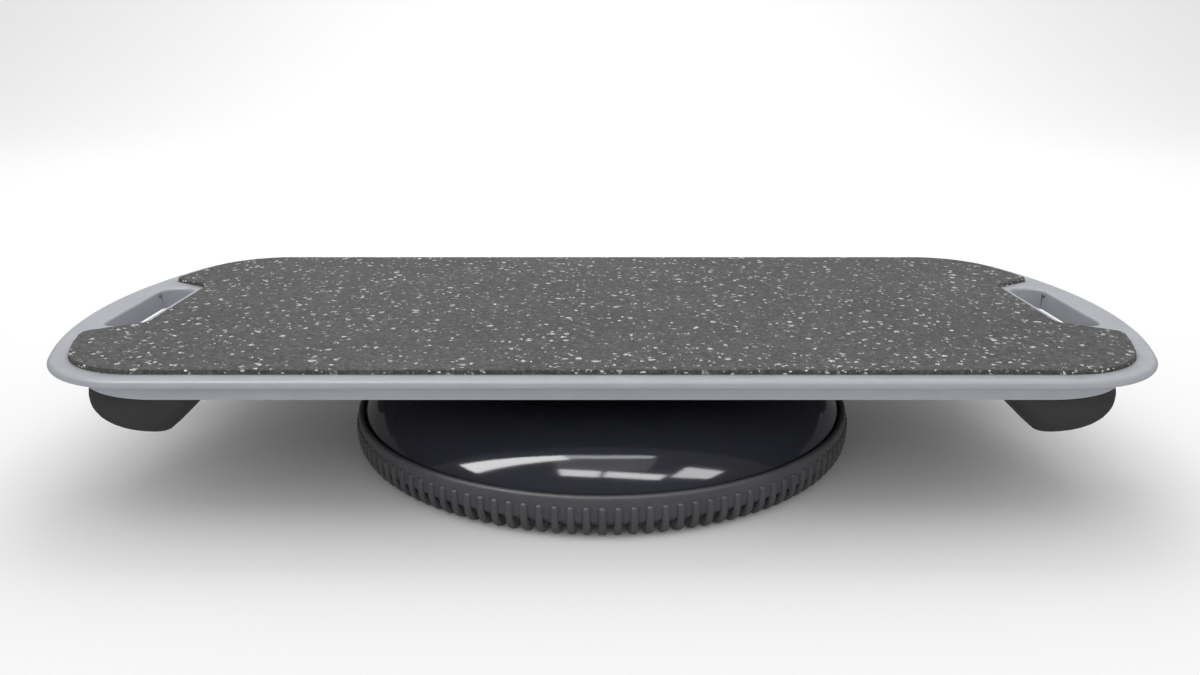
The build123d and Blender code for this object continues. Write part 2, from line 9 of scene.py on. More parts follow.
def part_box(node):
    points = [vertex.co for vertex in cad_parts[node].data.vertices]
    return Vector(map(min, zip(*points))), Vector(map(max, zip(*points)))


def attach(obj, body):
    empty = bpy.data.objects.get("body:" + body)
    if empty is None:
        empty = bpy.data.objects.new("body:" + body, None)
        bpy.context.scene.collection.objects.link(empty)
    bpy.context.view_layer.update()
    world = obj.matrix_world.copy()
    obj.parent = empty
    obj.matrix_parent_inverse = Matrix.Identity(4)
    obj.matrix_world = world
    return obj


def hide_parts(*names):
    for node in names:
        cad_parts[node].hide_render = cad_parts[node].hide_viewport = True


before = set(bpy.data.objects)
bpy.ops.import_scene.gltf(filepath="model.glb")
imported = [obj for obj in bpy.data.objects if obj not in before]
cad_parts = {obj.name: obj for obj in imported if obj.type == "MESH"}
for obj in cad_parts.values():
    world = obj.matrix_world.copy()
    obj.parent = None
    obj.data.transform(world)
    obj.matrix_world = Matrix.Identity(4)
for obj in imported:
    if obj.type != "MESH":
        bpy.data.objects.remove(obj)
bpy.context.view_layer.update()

bl_info = {
    "name": "Balance board",
    "version": (1, 0, 0),
    "blender": (4, 5, 0),
    "location": "3D View > Sidebar > Balance board",
    "description": "Builds the visible pieces of a standing balance board round its CAD frame",
    "category": "Add Mesh",
}

MM = 0.001
MAT_LOW, MAT_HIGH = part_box("grip_mat")
FOOT_LOW, FOOT_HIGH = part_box("foot_rear_right")
DOME_LOW, DOME_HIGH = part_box("dome_shell")
RING_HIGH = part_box("tread_ring")[1]
DECK_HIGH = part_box("deck_frame")[1]


def length(name, description, default):
    """A size in metres that a user may change."""
    return FloatProperty(name=name, description=description, default=default, unit="LENGTH",
                         precision=4)


def colour(name, description, shade):
    """A colour that a user may change, from a hex shade as it looks on screen."""
    parts = [int(shade[i:i + 2], 16) / 255 for i in (0, 2, 4)]
    linear = [c / 12.92 if c <= 0.04045 else ((c + 0.055) / 1.055) ** 2.4 for c in parts]
    return FloatVectorProperty(name=name, description=description, default=linear,
                               subtype="COLOR", size=3, min=0, max=1)


class BoardSizes(bpy.types.PropertyGroup):
    """Sizes of the modelled pieces."""
    rim: length("Rim", "Width of the deck's rim round the mat", 0.011)
    mat_bow: length("Mat end bow", "Radius of the mat's bowed ends", 0.274)
    mat_corner: length("Mat corner", "Radius of the mat's four corners", 0.055)
    notch_depth_x: length("Notch line", "Distance from the middle to the notch", 0.280)
    notch_half: length("Notch half width", "Half width of the notch's straight side", 0.047)
    notch_tip_x: length("Notch tip", "Distance from the middle to the lobe's tip", 0.3106)
    notch_tip_y: length("Lobe start", "Half width of the notch at the mat's end", 0.0672)
    notch_fillet: length("Notch fillet", "Rounding inside the notch", 0.006)
    lobe_fillet: length("Lobe fillet", "Rounding of the mat's lobes", 0.007)
    crumble: length("Edge crumble", "How deep the cut edge of the mat is torn", 0.00055)
    crumb_count: IntProperty(name="Edge crumbs", default=150,
                             description="Pale granules that stand out of the mat's edge")
    foot_toe_inner_x: length("Sole inner end", "Where a foot's flat sole starts, along the deck",
                             0.2405)
    foot_toe_outer_x: length("Sole outer end", "Where a foot's flat sole stops, along the deck",
                             0.2585)
    foot_toe_inner_y: length("Sole inner side", "Where the sole starts, across the deck", 0.094)
    foot_toe_outer_y: length("Sole outer side", "Where the sole stops, across the deck", 0.117)
    foot_side_drop: length("Foot side", "Straight part of a foot's outer sides", 0.005)
    foot_top: length("Foot top", "Height of the skirt's lower edge, where a foot starts", 0.071)
    dome_rise: length("Dome rise", "Height of the dome above its edge", 0.032)
    dome_edge: length("Dome edge", "Height of the dome's edge", 0.024)
    dome_wall: length("Dome wall", "Thickness of the dome", 0.0035)
    dome_opening: length("Dome opening", "Radius of the hole at the top of the dome", 0.038)
    dome_flatness: FloatProperty(name="Dome flatness", default=6.8,
                                 description="Higher is flatter on top and steeper at the edge")
    dome_power: FloatProperty(name="Dome edge power", default=0.92,
                              description="Lower is steeper where the dome meets its edge")
    ring_outer: length("Ring radius", "Outer radius of the rubber ring between its teeth", 0.1614)
    ring_inner: length("Ring seat", "Radius where the ring meets the dome", 0.1571)
    flange_inner: length("Ring flange", "Inner radius of the ring's flange", 0.140)
    flange_bottom: length("Flange bottom", "Height of the underside of the flange", 0.006)
    flange_top: length("Flange top", "Height of the top of the flange", 0.009)
    ring_shoulder: length("Ring shoulder", "Lower edge of the ring between its teeth", 0.0106)
    tooth_count: IntProperty(name="Teeth", default=120, description="Rubber teeth on the ring")
    tooth_width: length("Tooth width", "Width of one tooth", 0.0042)
    tooth_height: length("Tooth height", "Height of one tooth", 0.0187)
    tooth_round: length("Tooth rounding", "Rounding of a tooth's outer edges", 0.0016)
    tooth_root: length("Tooth root", "How far inside the ring a tooth starts", 0.0015)
    tooth_sole: length("Tooth sole", "Radius where a tooth's sole starts", 0.152)
    tooth_sole_outer: length("Sole edge", "Radius where a tooth's sole stops", 0.1545)
    tooth_curve: length("Tooth curve", "Height over which a tooth curves in to its sole", 0.011)


class BoardColours(bpy.types.PropertyGroup):
    """Colours of the finishes."""
    deck: colour("Deck", "Satin moulded deck", "a9abb1")
    mat: colour("Mat", "Dark crumb rubber", "5f5f5f")
    fleck: colour("Flecks", "Pale granules in the mat", "e9e9e6")
    foot: colour("Feet", "Black rubber of the feet", "39393a")
    ring: colour("Ring", "Grey rubber ring", "4f4f52")
    dome: colour("Dome", "Gloss black dome", "303138")
    cover: colour("Cover", "Black plastic under the deck", "232427")
    plate: colour("Base plate", "Black plastic under the base", "202124")
    bush: colour("Bushes", "Black bush rubber", "1d1d1e")
    cage: colour("Ball cage", "Natural nylon", "d8d4c6")
    casting: colour("Castings", "Cast alloy", "a7a9ab")
    steel: colour("Steel", "Zinc plated steel", "b9bcc2")


class StageSizes(bpy.types.PropertyGroup):
    """Camera and surroundings."""
    camera_back: length("Camera distance", "Camera's distance in front of the swivel axis", 0.6164)
    camera_side: length("Camera offset", "Camera's distance to the right of the axis", -0.0013)
    camera_height: length("Camera height", "Camera's height above the floor", 0.252)
    camera_pitch: FloatProperty(name="Camera pitch", default=radians(90 - 17.116), unit="ROTATION",
                                description="Camera's turn about its X axis")
    lens: FloatProperty(name="Lens", default=28.885, description="Focal length in millimetres")
    backdrop: colour("Backdrop", "Pale floor and wall", "f2f2f2")


def sizes():
    return bpy.context.scene.board_sizes


def colours():
    return bpy.context.scene.board_colours


# ---- modelling -----------------------------------------------------------------

def only(piece):
    """Select one object and make it active."""
    bpy.ops.object.select_all(action="DESELECT")
    piece.select_set(True)
    bpy.context.view_layer.objects.active = piece


def edge_loop(name, points):
    """A circle primitive laid on the points of a closed outline."""
    bpy.ops.object.select_all(action="DESELECT")
    bpy.ops.mesh.primitive_circle_add(vertices=len(points), radius=1.0)
    piece = bpy.context.active_object
    piece.name = piece.data.name = name
    for vertex, point in zip(piece.data.vertices, points):
        vertex.co = point
    return piece


def pick(piece, test):
    """Select, in edit mode, just the vertices for which test(index) is true."""
    bpy.ops.mesh.select_mode(type="VERT")
    mesh = bmesh.from_edit_mesh(piece.data)
    for vertex in mesh.verts:
        vertex.select = test(vertex.index)
    mesh.select_flush_mode()
    bmesh.update_edit_mesh(piece.data)


def loft(name, loops, closing):
    """One skin drawn through loops of equally many points. closing is "caps" or "ring"."""
    piece = edge_loop(name, loops[0])
    count = len(loops[0])
    bpy.ops.object.mode_set(mode="EDIT")
    bpy.ops.mesh.select_all(action="SELECT")
    for before, after in zip(loops, loops[1:]):
        targets = {tuple(round(c, 7) for c in point): target
                   for point, target in zip(before, after)}
        bpy.ops.mesh.extrude_edges_indiv()
        mesh = bmesh.from_edit_mesh(piece.data)
        for vertex in mesh.verts:
            if vertex.select:
                vertex.co = targets[tuple(round(c, 7) for c in vertex.co)]
        bmesh.update_edit_mesh(piece.data)
    bmesh.from_edit_mesh(piece.data).verts.index_update()
    last = count * (len(loops) - 1)
    if closing == "caps":
        bpy.ops.mesh.edge_face_add()
        pick(piece, lambda index: index < count)
        bpy.ops.mesh.edge_face_add()
    else:
        pick(piece, lambda index: index < count or index >= last)
        bpy.ops.mesh.bridge_edge_loops()
    return finish_skin(piece)


def finish_skin(piece, angle=40):
    """Turn the faces outwards and smooth the piece."""
    if bpy.context.mode != "EDIT_MESH":
        only(piece)
        bpy.ops.object.mode_set(mode="EDIT")
    bpy.ops.mesh.select_all(action="SELECT")
    bpy.ops.mesh.normals_make_consistent(inside=False)
    bpy.ops.object.mode_set(mode="OBJECT")
    bpy.ops.object.shade_smooth_by_angle(angle=radians(angle))
    return piece


def circle(radius, z, count):
    """Points of a level circle about the swivel axis."""
    return [Vector((radius * cos(2 * pi * i / count), radius * sin(2 * pi * i / count), z))
            for i in range(count)]


def turned(name, profile, count):
    """A closed (radius, height) profile turned about the swivel axis."""
    return loft(name, [circle(radius, z, count) for radius, z in profile], "ring")


def arc(centre_x, centre_y, radius, start, end, count):
    """Points along an arc, both ends included."""
    return [(centre_x + radius * cos(start + (end - start) * i / count),
             centre_y + radius * sin(start + (end - start) * i / count))
            for i in range(count + 1)]


def rounded_outline(corners, arc_steps, side_steps):
    """Points round a closed outline of (x, y, radius) corners."""
    stretches = []
    for i, (x, y, radius) in enumerate(corners):
        here = Vector((x, y))
        if radius == 0:
            stretches.append([here])
            continue
        before = (Vector(corners[i - 1][:2]) - here).normalized()
        after = (Vector(corners[(i + 1) % len(corners)][:2]) - here).normalized()
        half = before.angle(after) / 2
        centre = here + (before + after).normalized() * (radius / sin(half))
        spoke = here + before * (radius / tan(half)) - centre
        way = 1 if before.x * after.y - before.y * after.x < 0 else -1
        stretches.append([centre + Matrix.Rotation(way * (pi - 2 * half) * k / arc_steps, 2) @ spoke
                          for k in range(arc_steps + 1)])
    points = []
    for stretch, following in zip(stretches, stretches[1:] + stretches[:1]):
        points += stretch
        points += [stretch[-1].lerp(following[0], k / side_steps) for k in range(1, side_steps)]
    return points


def even_outline(points, count):
    """The same closed outline with count points, evenly spaced."""
    spans = [(b - a).length for a, b in zip(points, points[1:] + points[:1])]
    step, gone, place, even = sum(spans) / count, 0.0, 0, []
    for i in range(count):
        while i * step > gone + spans[place]:
            gone += spans[place]
            place += 1
        share = (i * step - gone) / spans[place]
        even.append(points[place].lerp(points[(place + 1) % len(points)], share))
    return even


def outward(points):
    """Unit vectors that point out of a closed outline drawn anticlockwise."""
    ways = []
    for before, after in zip(points[-1:] + points[:-1], points[1:] + points[:1]):
        along = (after - before).normalized()
        ways.append(Vector((along.y, -along.x)))
    return ways


def dress(piece, body, finish, slot, *nodes):
    """Give a modelled piece its finish and its body, and hide the CAD nodes it stands for."""
    piece.data.materials.clear()
    piece.data.materials.append(FINISHES[finish]())
    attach(piece, body)
    if nodes:
        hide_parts(*nodes)
    return piece


# ---- finishes ------------------------------------------------------------------

class Graph:
    """Short words for adding and joining shader nodes."""

    def __init__(self, tree):
        self.tree = tree

    def add(self, kind, inputs=(), **settings):
        node = self.tree.nodes.new(kind if kind.startswith("Node") else "ShaderNode" + kind)
        for key, value in settings.items():
            setattr(node, key, value)
        for key, value in dict(inputs).items():
            if isinstance(value, bpy.types.NodeSocket):
                self.tree.links.new(value, node.inputs[key])
            else:
                node.inputs[key].default_value = value
        return node

    def math(self, operation, first, second=0.0, clamp=False):
        return self.add("Math", {0: first, 1: second}, operation=operation,
                        use_clamp=clamp).outputs[0]

    def noise(self, vector, scale, detail=2.0, roughness=0.5):
        return self.add("TexNoise", {"Vector": vector, "Scale": scale, "Detail": detail,
                                     "Roughness": roughness}).outputs[0]

    def cells(self, vector, scale, feature="F1"):
        return self.add("TexVoronoi", {"Vector": vector, "Scale": scale}, feature=feature)

    def ramp(self, value, low, high, to_low=0.0, to_high=1.0):
        return self.add("MapRange", {"Value": value, "From Min": low, "From Max": high,
                                     "To Min": to_low, "To Max": to_high}).outputs[0]

    def mix(self, share, first, second, blend="MIX"):
        node = self.add("Mix", data_type="RGBA", blend_type=blend)
        for key, value in (("Factor_Float", share), ("A_Color", first), ("B_Color", second)):
            socket = next(s for s in node.inputs if s.identifier == key)
            if isinstance(value, bpy.types.NodeSocket):
                self.tree.links.new(value, socket)
            else:
                socket.default_value = value
        return next(s for s in node.outputs if s.identifier == "Result_Color")

    def shade(self, base, value):
        """base, darkened or lightened by a grey value."""
        grey = self.add("CombineColor", {0: value, 1: value, 2: value}).outputs[0]
        return self.mix(1.0, base, grey, "MULTIPLY")


def node_group(name, inputs, outputs, fill):
    """A shader node group, built the first time that it is asked for."""
    if name in bpy.data.node_groups:
        return bpy.data.node_groups[name]
    tree = bpy.data.node_groups.new(name, "ShaderNodeTree")
    for label, kind, default in inputs:
        socket = tree.interface.new_socket(label, in_out="INPUT", socket_type=kind)
        if default is not None:
            socket.default_value = default
    for label, kind in outputs:
        tree.interface.new_socket(label, in_out="OUTPUT", socket_type=kind)
    graph = Graph(tree)
    source, sink = graph.add("NodeGroupInput"), graph.add("NodeGroupOutput")
    for label, value in fill(graph, source.outputs).items():
        tree.links.new(value, sink.inputs[label])
    return tree


def grain_group():
    """Fine moulded or cast grain: a height and a soft change of tone."""
    def fill(graph, given):
        fine = graph.noise(given["Vector"], given["Scale"], 3.0, 0.6)
        coarse = graph.noise(given["Vector"], graph.math("MULTIPLY", given["Scale"], 0.04), 4.0)
        pits = graph.cells(given["Vector"], graph.math("MULTIPLY", given["Scale"], 0.6))
        height = graph.math("ADD", fine, graph.math("MULTIPLY", pits.outputs["Distance"], 0.5))
        return {"Height": height, "Tone": graph.ramp(coarse, 0.3, 0.7, 0.0, 1.0)}
    return node_group("Grain", [("Vector", "NodeSocketVector", None),
                                ("Scale", "NodeSocketFloat", 1500.0)],
                      [("Height", "NodeSocketFloat"), ("Tone", "NodeSocketFloat")], fill)


def handling_group():
    """Light handling marks: settled dust on level faces and thin scuffs."""
    def fill(graph, given):
        facing = graph.add("NewGeometry").outputs["Normal"]
        level = graph.add("SeparateXYZ", {0: facing}).outputs["Z"]
        patches = graph.noise(given["Vector"], 60.0, 6.0, 0.7)
        specks = graph.noise(given["Vector"], 2600.0, 1.0)
        dust = graph.math("MULTIPLY", graph.ramp(level, 0.2, 1.0),
                          graph.ramp(patches, 0.42, 0.72))
        dust = graph.math("MULTIPLY", dust, graph.ramp(specks, 0.35, 0.75))
        bent = graph.add("VectorMath", {0: given["Vector"], 1: (9.0, 70.0, 40.0)},
                         operation="MULTIPLY").outputs[0]
        scuff = graph.noise(bent, 9.0, 2.0, 0.4)
        scuffs = graph.math("MULTIPLY", graph.ramp(scuff, 0.66, 0.7),
                            graph.ramp(patches, 0.5, 0.62))
        return {"Dust": graph.math("MULTIPLY", dust, given["Amount"], clamp=True),
                "Scuffs": graph.math("MULTIPLY", scuffs, given["Amount"], clamp=True)}
    return node_group("Handling marks", [("Vector", "NodeSocketVector", None),
                                         ("Amount", "NodeSocketFloat", 0.5)],
                      [("Dust", "NodeSocketFloat"), ("Scuffs", "NodeSocketFloat")], fill)


def crumb_group():
    """Pressed crumb rubber: dark granules with scattered pale ones of mixed size."""
    def scattered(graph, vector, scale, share, small, large):
        """Pale granules in a share of the cells, each with its own size."""
        cell = graph.cells(vector, scale)
        draw = graph.add("SeparateColor", {0: cell.outputs["Color"]})
        chosen = graph.math("LESS_THAN", draw.outputs[0], share)
        reach = graph.ramp(draw.outputs[1], 0.0, 1.0, small, large)
        inside = graph.math("LESS_THAN", cell.outputs["Distance"], reach)
        return graph.math("MULTIPLY", chosen, inside), draw.outputs[2]

    def fill(graph, given):
        vector = given["Vector"]
        shift = graph.add("TexNoise", {"Vector": vector, "Scale": 700.0, "Detail": 2.0})
        shift = graph.add("VectorMath", {0: shift.outputs["Color"], 1: (0.5, 0.5, 0.5)},
                          operation="SUBTRACT").outputs[0]
        shift = graph.add("VectorMath", {0: shift, "Scale": 0.0045}, operation="SCALE").outputs[0]
        torn = graph.add("VectorMath", {0: vector, 1: shift}, operation="ADD").outputs[0]
        large, large_tone = scattered(graph, torn, given["Large scale"], given["Large share"],
                                      0.16, 0.46)
        small, small_tone = scattered(graph, torn, given["Small scale"], given["Small share"],
                                      0.22, 0.55)
        flecks = graph.math("MAXIMUM", large, small)
        tone = graph.math("MAXIMUM", graph.math("MULTIPLY", large, large_tone),
                          graph.math("MULTIPLY", small, small_tone))
        granules = graph.cells(torn, 560.0)
        granule = graph.add("SeparateColor", {0: granules.outputs["Color"]}).outputs[0]
        gaps = graph.cells(torn, 560.0, "DISTANCE_TO_EDGE").outputs["Distance"]
        fine = graph.noise(vector, 3200.0, 2.0)
        height = graph.math("ADD", graph.ramp(gaps, 0.0, 0.25),
                            graph.math("MULTIPLY", granule, 0.7))
        height = graph.math("ADD", height, graph.math("MULTIPLY", fine, 0.5))
        height = graph.math("ADD", height, graph.math("MULTIPLY", flecks, 0.4))
        # Gaps is a mask of the gaps between granules; the mat darkens them as painted shade.
        return {"Flecks": flecks, "Fleck tone": tone, "Granule": granule,
                "Gaps": graph.ramp(gaps, 0.0, 0.12), "Height": height}
    return node_group("Crumb rubber", [("Vector", "NodeSocketVector", None),
                                       ("Large scale", "NodeSocketFloat", 235.0),
                                       ("Large share", "NodeSocketFloat", 0.095),
                                       ("Small scale", "NodeSocketFloat", 470.0),
                                       ("Small share", "NodeSocketFloat", 0.09)],
                      [("Flecks", "NodeSocketFloat"), ("Fleck tone", "NodeSocketFloat"),
                       ("Granule", "NodeSocketFloat"), ("Gaps", "NodeSocketFloat"),
                       ("Height", "NodeSocketFloat")], fill)


def plain(rgb, factor=1.0):
    """A colour property as a socket value, darkened or lightened."""
    return (*[min(1.0, part * factor) for part in rgb], 1.0)


def finish(name, rgb, roughness, spread=0.06, grain=1500.0, depth=0.00005, marks=0.3,
           metallic=0.0, dust_shade=1.5, **sockets):
    """A procedural finish with grain, dust and scuffs, made once."""
    if name in bpy.data.materials:
        return bpy.data.materials[name]
    material = bpy.data.materials.new(name)
    material.use_nodes = True
    graph = Graph(material.node_tree)
    shader = material.node_tree.nodes["Principled BSDF"]
    place = graph.add("TexCoord").outputs["Object"]
    grains = graph.add("Group", node_tree=grain_group())
    material.node_tree.links.new(place, grains.inputs["Vector"])
    grains.inputs["Scale"].default_value = grain
    hands = graph.add("Group", node_tree=handling_group())
    material.node_tree.links.new(place, hands.inputs["Vector"])
    hands.inputs["Amount"].default_value = marks
    base = graph.mix(grains.outputs["Tone"], plain(rgb, 1 - spread), plain(rgb, 1 + spread))
    base = graph.mix(hands.outputs["Dust"], base, plain(rgb, dust_shade))
    base = graph.mix(graph.math("MULTIPLY", hands.outputs["Scuffs"], 0.5), base,
                     plain(rgb, 1 + spread * 4))
    rough = graph.ramp(grains.outputs["Tone"], 0.0, 1.0, roughness * 0.92, roughness * 1.08)
    rough = graph.math("ADD", rough, graph.math("MULTIPLY", hands.outputs["Dust"], 0.25))
    rough = graph.math("ADD", rough, graph.math("MULTIPLY", hands.outputs["Scuffs"], 0.12),
                       clamp=True)
    bump = graph.add("Bump", {"Height": grains.outputs["Height"], "Strength": 1.0,
                              "Distance": depth})
    material.node_tree.links.new(base, shader.inputs["Base Color"])
    material.node_tree.links.new(rough, shader.inputs["Roughness"])
    material.node_tree.links.new(bump.outputs[0], shader.inputs["Normal"])
    shader.inputs["Metallic"].default_value = metallic
    for label, value in sockets.items():
        shader.inputs[label.replace("_", " ")].default_value = value
    return material


def crumb_finish():
    """The mat's flecked crumb rubber, with painted shade in the gaps between its granules."""
    name = "Flecked crumb rubber"
    if name in bpy.data.materials:
        return bpy.data.materials[name]
    material = bpy.data.materials.new(name)
    material.use_nodes = True
    graph = Graph(material.node_tree)
    shader = material.node_tree.nodes["Principled BSDF"]
    place = graph.add("TexCoord").outputs["Object"]
    crumbs = graph.add("Group", node_tree=crumb_group())
    material.node_tree.links.new(place, crumbs.inputs["Vector"])
    worn = graph.noise(place, 14.0, 4.0)
    dark = graph.mix(crumbs.outputs["Granule"], plain(colours().mat, 0.62),
                     plain(colours().mat, 1.45))
    # Painted shade: the dark rubber is darkened towards the gaps between its granules, where shade
    # falls.
    dark = graph.shade(dark, graph.ramp(crumbs.outputs["Gaps"], 0.0, 1.0, 0.55, 1.0))
    dark = graph.shade(dark, graph.ramp(worn, 0.3, 0.7, 0.93, 1.07))
    pale = graph.mix(crumbs.outputs["Fleck tone"], plain(colours().fleck, 0.45),
                     plain(colours().fleck, 1.15))
    base = graph.mix(crumbs.outputs["Flecks"], dark, pale)
    bump = graph.add("Bump", {"Height": crumbs.outputs["Height"], "Strength": 0.8,
                              "Distance": 0.0004})
    material.node_tree.links.new(base, shader.inputs["Base Color"])
    material.node_tree.links.new(graph.ramp(crumbs.outputs["Granule"], 0, 1, 0.72, 0.9),
                                 shader.inputs["Roughness"])
    material.node_tree.links.new(bump.outputs[0], shader.inputs["Normal"])
    shader.inputs["Specular IOR Level"].default_value = 0.3
    return material


FINISHES = {
    "deck": lambda: finish("Satin deck plastic", colours().deck, 0.40, spread=0.03, grain=1900.0,
                           depth=0.00003, marks=0.25, dust_shade=1.1),
    "mat": crumb_finish,
    "crumb": lambda: finish("Pale granule rubber", colours().fleck, 0.8, spread=0.2,
                            grain=2500.0, depth=0.0002, marks=0.2, dust_shade=0.8),
    "foot": lambda: finish("Foot rubber", colours().foot, 0.58, spread=0.08, grain=1700.0,
                           depth=0.00006, marks=0.5, dust_shade=1.8),
    "ring": lambda: finish("Ring rubber", colours().ring, 0.50, spread=0.08, grain=1500.0,
                           depth=0.00006, marks=0.6, dust_shade=1.5),
    "bush": lambda: finish("Bush rubber", colours().bush, 0.6, spread=0.1, marks=0.3),
    "dome": lambda: finish("Gloss black dome", colours().dome, 0.09, spread=0.03, grain=400.0,
                           depth=0.000004, marks=0.10, dust_shade=2.5),
    "cover": lambda: finish("Cover plastic", colours().cover, 0.5, spread=0.06, grain=1300.0,
                            depth=0.00008, marks=0.5),
    "plate": lambda: finish("Base plastic", colours().plate, 0.5, spread=0.06, grain=1300.0,
                            depth=0.00008, marks=0.6),
    "cage": lambda: finish("Natural nylon", colours().cage, 0.45, spread=0.04, marks=0.2,
                           dust_shade=0.8, Subsurface_Weight=0.1, Subsurface_Scale=0.002),
    "casting": lambda: finish("Cast alloy", colours().casting, 0.42, spread=0.08, grain=900.0,
                              depth=0.00015, marks=0.4, metallic=1.0, dust_shade=0.7),
    "steel": lambda: finish("Zinc plated steel", colours().steel, 0.3, spread=0.05, grain=700.0,
                            depth=0.00003, marks=0.3, metallic=1.0, dust_shade=0.7),
}


# ---- pieces --------------------------------------------------------------------

class BuildDeck(bpy.types.Operator):
    """Copy the deck's CAD shape, merge its loose triangles and smooth its rounded edges"""
    bl_idname = "board.deck"
    bl_label = "Deck"

    merge_distance = 0.000002
    smooth_angle = 32           # degrees
    # The hand holes' corners: centre and radius of one, in the quarter where x and y are positive.
    corner_x, corner_y, corner_radius = 0.300, 0.0365, 0.0105
    strip_back = 0.00005        # a strip is set this far behind the hole's face
    strip_depth = 0.0008        # and reaches this far behind it
    strip_run = 0.0065          # straight part beside the corner
    strip_low, strip_high = 0.0711, 0.0795
    strip_turns = [radians(180 - 5 * i) for i in range(7)]

    def execute(self, context):
        piece = bpy.data.objects.new("deck_body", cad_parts["deck_frame"].data.copy())
        context.collection.objects.link(piece)
        only(piece)
        bpy.ops.object.mode_set(mode="EDIT")
        bpy.ops.mesh.select_all(action="SELECT")
        bpy.ops.mesh.remove_doubles(threshold=self.merge_distance)
        bpy.ops.object.mode_set(mode="OBJECT")
        bpy.ops.object.shade_smooth_by_angle(angle=radians(self.smooth_angle))
        bpy.ops.object.modifier_add(type="WEIGHTED_NORMAL")
        piece.modifiers[-1].keep_sharp = True
        bpy.ops.object.modifier_apply(modifier=piece.modifiers[-1].name)
        self.close_hole_walls(context, piece)
        dress(piece, "deck", "deck", "deck_plastic", "deck_frame")
        return {"FINISHED"}

    def close_hole_walls(self, context, piece):
        """Close the narrow slits where the skirt crosses the hand holes' rounded corners."""
        strips = []
        for end in (-1, 1):
            for side in (-1, 1):
                paths = []
                for behind in (self.strip_back, self.strip_depth):
                    radius = self.corner_radius + behind
                    path = [(self.corner_x + radius, self.corner_y - self.strip_run)]
                    path += [(self.corner_x - radius * cos(turn),
                              self.corner_y + radius * sin(turn)) for turn in self.strip_turns]
                    paths.append([(round(end * x, 6), round(side * y, 6)) for x, y in path])
                outline = paths[0] + paths[1][::-1]
                if end * side < 0:
                    outline.reverse()
                strips.append(loft("hole wall strip", [[(x, y, z) for x, y in outline]
                                                       for z in (self.strip_low, self.strip_high)],
                                   "caps"))
        bpy.ops.object.select_all(action="DESELECT")
        for part in [*strips, piece]:
            part.select_set(True)
        context.view_layer.objects.active = piece
        bpy.ops.object.join()


def mat_outline():
    """The mat's outline, notched round both hand holes, anticlockwise."""
    size = sizes()
    bow_x, corner = DECK_HIGH.x - size.rim - size.mat_bow, size.mat_corner
    corner_y = MAT_HIGH.y - corner
    across = sqrt((size.mat_bow - corner) ** 2 - corner_y ** 2)
    meet = atan2(corner_y, across)
    lobe = asin(size.notch_tip_y / size.mat_bow)
    bow = arc(bow_x, 0, size.mat_bow, lobe + size.lobe_fillet / size.mat_bow, meet, 8)
    turn = arc(bow_x + across, corner_y, corner, meet, pi / 2, 24)
    quarter = [(size.notch_depth_x, size.notch_half, size.notch_fillet),
               (size.notch_tip_x, size.notch_tip_y, size.lobe_fillet)]
    quarter += [(x, y, 0) for x, y in bow + turn[1:]]
    half = quarter + [(-x, y, radius) for x, y, radius in reversed(quarter)]
    return rounded_outline(half + [(-x, -y, radius) for x, y, radius in half], 10, 4)


class BuildMat(bpy.types.Operator):
    """Model the flecked mat with a torn, slightly rounded edge and granules standing out of it"""
    bl_idname = "board.mat"
    bl_label = "Mat"

    # (how far in from the outline, how far under the top, share of the tearing)
    section = ((0.0, 1.0, 0.0), (0.0, 0.5, 0.4), (0.0, 0.25, 1.0), (0.04, 0.07, 1.0),
               (0.25, 0.012, 0.9), (0.8, 0.0, 0.2), (3.0, 0.0, 0.0))
    outline_points = 1260
    tear_across, tear_down = 420, 700   # tears to a metre, along the edge and down it

    def execute(self, context):
        size = sizes()
        outline = even_outline(mat_outline(), self.outline_points)
        ways = outward(outline)
        thickness = MAT_HIGH.z - MAT_LOW.z
        loops = []
        for inset, under, tearing in self.section:
            z = MAT_HIGH.z - under * thickness
            loop = []
            for point, way in zip(outline, ways):
                seed = Vector((point.x * self.tear_across, point.y * self.tear_across,
                               z * self.tear_down))
                torn = size.crumble * tearing * (0.5 + 0.9 * noise.noise(seed))
                place = point - way * (inset * MM + max(torn, 0))
                drop = max(noise.noise(seed * 0.7) - 0.15, 0) * size.crumble * tearing
                loop.append(Vector((place.x, place.y, z - drop)))
            loops.append(loop)
        mat = loft("flecked_mat", loops, "caps")
        dress(mat, "deck", "mat", "mat_rubber", "grip_mat")
        self.add_crumbs(size, outline, ways)
        return {"FINISHED"}

    def add_crumbs(self, size, outline, ways):
        """Small flat granules, half sunk in the edge of the mat."""
        crumbs = []
        for i in range(size.crumb_count):
            draw = noise.random_vector(), noise.random(), noise.random()
            along = int(noise.random() * len(outline))
            point, way = outline[along], ways[along]
            reach = 0.0005 + 0.0008 * draw[1] ** 2
            depth = 0.0003 + 0.0016 * draw[2]
            bpy.ops.object.select_all(action="DESELECT")
            bpy.ops.mesh.primitive_ico_sphere_add(subdivisions=1, radius=reach)
            crumb = bpy.context.active_object
            bpy.ops.object.mode_set(mode="EDIT")
            bpy.ops.mesh.vertices_smooth(factor=0.2)
            bpy.ops.transform.resize(value=(1.0 + 0.6 * draw[2], 0.8, 0.55))
            bpy.ops.object.mode_set(mode="OBJECT")
            spot = Vector((*(point - way * 0.5 * reach), MAT_HIGH.z - depth))
            turn = Matrix.Rotation(atan2(way.y, way.x) + pi / 2 + draw[0].x * 0.5, 4, "Z")
            crumb.data.transform(Matrix.Translation(spot) @ turn
                                 @ Matrix.Rotation(draw[0].y * 0.4, 4, "X"))
            for vertex in crumb.data.vertices:
                vertex.co.z = min(vertex.co.z, MAT_HIGH.z)
            crumbs.append(crumb)
        only(crumbs[0])
        for crumb in crumbs:
            crumb.select_set(True)
        bpy.ops.object.join()
        crumbs[0].name = crumbs[0].data.name = "mat_edge_granules"
        finish_skin(crumbs[0])
        dress(crumbs[0], "deck", "crumb", "mat_rubber")


